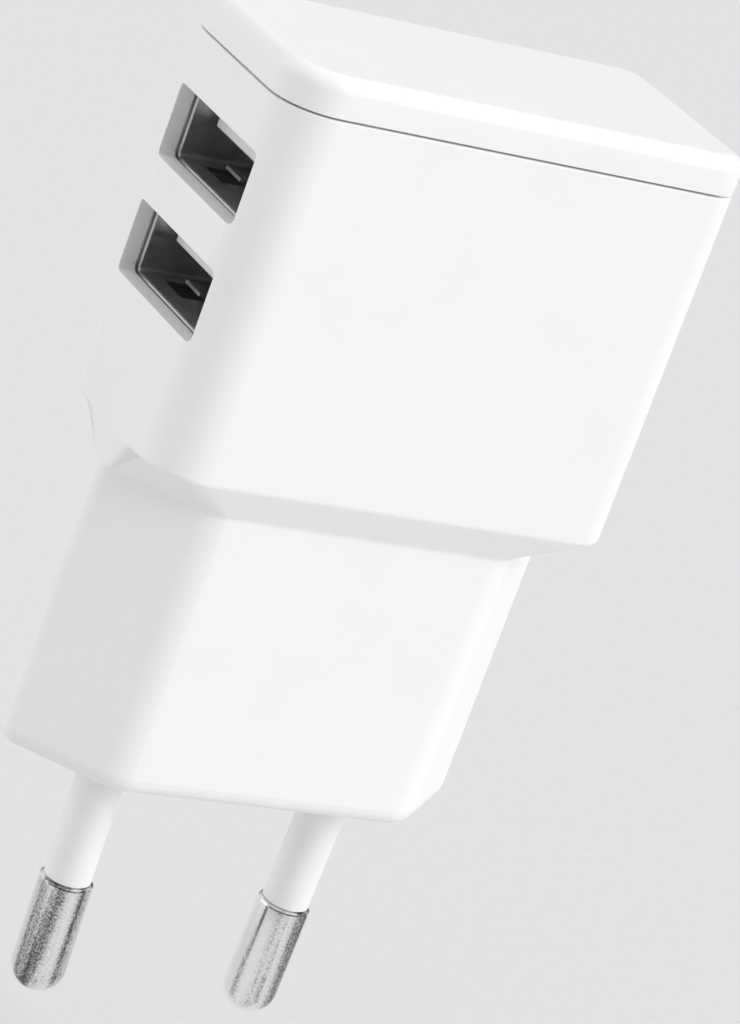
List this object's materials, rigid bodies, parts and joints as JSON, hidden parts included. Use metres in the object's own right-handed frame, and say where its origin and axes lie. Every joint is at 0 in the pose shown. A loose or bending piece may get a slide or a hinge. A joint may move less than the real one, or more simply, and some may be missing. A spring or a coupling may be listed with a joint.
{
  "type": "usb wall charger",
  "caption": "Slim two-pin wall charger with a head thicker than its neck, a sloping ledge between them, a seamed end cover and stacked USB-A sockets in the narrow end.",
  "frame": {"origin": "midway between the pins, on the flat face that meets the wall outlet", "axes": "+Z away from the wall towards the end cover, along the body; X along the pair of pins with the sockets at -X; Y across the thickness"},
  "size_m": [0.0362, 0.0178, 0.0733],
  "materials": {
    "white_case": "satin moulded, lightly polished",
    "white_sleeve": "satin",
    "ivory_carrier": "matte",
    "nickel_pin": "bright nickel plate with faint turning marks",
    "brass_strip": "stamped",
    "circuit_board": "solder mask",
    "socket_steel": "nickelled sheet steel",
    "socket_plastic": "moulded",
    "contact_metal": "gold flash",
    "ferrite": "sintered",
    "black_bobbin": "moulded",
    "winding_tape": "polyester tape",
    "capacitor_sleeve": "shrink sleeve",
    "blue_epoxy": "dipped epoxy",
    "resistor_coat": "lacquered",
    "choke_coat": "lacquered",
    "clear_sheet": "polyester film",
    "black_epoxy": "moulded epoxy"
  },
  "bodies": {
    "charger": {"housing": "white_case", "end_cover": "white_case", "pin_carrier": "ivory_carrier", "left_pin": "nickel_pin", "right_pin": "nickel_pin", "left_sleeve": "white_sleeve", "right_sleeve": "white_sleeve", "left_pin_strip": "brass_strip", "right_pin_strip": "brass_strip", "main_board": "circuit_board", "socket_board": "circuit_board", "upper_socket_shell": "socket_steel", "lower_socket_shell": "socket_steel", "upper_insulator": "socket_plastic", "lower_insulator": "socket_plastic", "upper_contact_tails": "contact_metal", "lower_contact_tails": "contact_metal", "transformer_core_top": "ferrite", "transformer_core_bottom": "ferrite", "transformer_bobbin": "black_bobbin", "transformer_winding": "winding_tape", "left_input_capacitor": "capacitor_sleeve", "right_input_capacitor": "capacitor_sleeve", "left_output_capacitor": "capacitor_sleeve", "right_output_capacitor": "capacitor_sleeve", "bridge_rectifier": "black_epoxy", "fusible_resistor": "resistor_coat", "filter_choke": "choke_coat", "output_choke": "ferrite", "y_capacitor": "blue_epoxy", "optocoupler": "black_epoxy", "switching_controller": "black_epoxy", "output_diode": "black_epoxy", "port_controller": "black_epoxy", "insulation_sheet": "clear_sheet"},
    "upper_contacts": {"upper_contact_1": "contact_metal", "upper_contact_2": "contact_metal", "upper_contact_3": "contact_metal", "upper_contact_4": "contact_metal"},
    "lower_contacts": {"lower_contact_1": "contact_metal", "lower_contact_2": "contact_metal", "lower_contact_3": "contact_metal", "lower_contact_4": "contact_metal"},
    "upper_latches": {"upper_latch_front": "socket_steel", "upper_latch_back": "socket_steel"},
    "lower_latches": {"lower_latch_front": "socket_steel", "lower_latch_back": "socket_steel"}
  },
  "joints": [
    {"name": "upper_contacts_flex", "type": "hinge", "parent": "charger", "child": "upper_contacts", "pos_m": [-0.00595, 0, 0.04557], "axis": [0, 1, 0], "range_deg": [0, 5], "stiffness_Nm_per_rad": 0.2},
    {"name": "lower_contacts_flex", "type": "hinge", "parent": "charger", "child": "lower_contacts", "pos_m": [-0.00595, 0, 0.03698], "axis": [0, 1, 0], "range_deg": [0, 5], "stiffness_Nm_per_rad": 0.2},
    {"name": "upper_latches_flex", "type": "hinge", "parent": "charger", "child": "upper_latches", "pos_m": [-0.01075, 0, 0.04209], "axis": [0, -1, 0], "range_deg": [0, 7], "stiffness_Nm_per_rad": 0.15},
    {"name": "lower_latches_flex", "type": "hinge", "parent": "charger", "child": "lower_latches", "pos_m": [-0.01075, 0, 0.03349], "axis": [0, -1, 0], "range_deg": [0, 7], "stiffness_Nm_per_rad": 0.15}
  ]
}
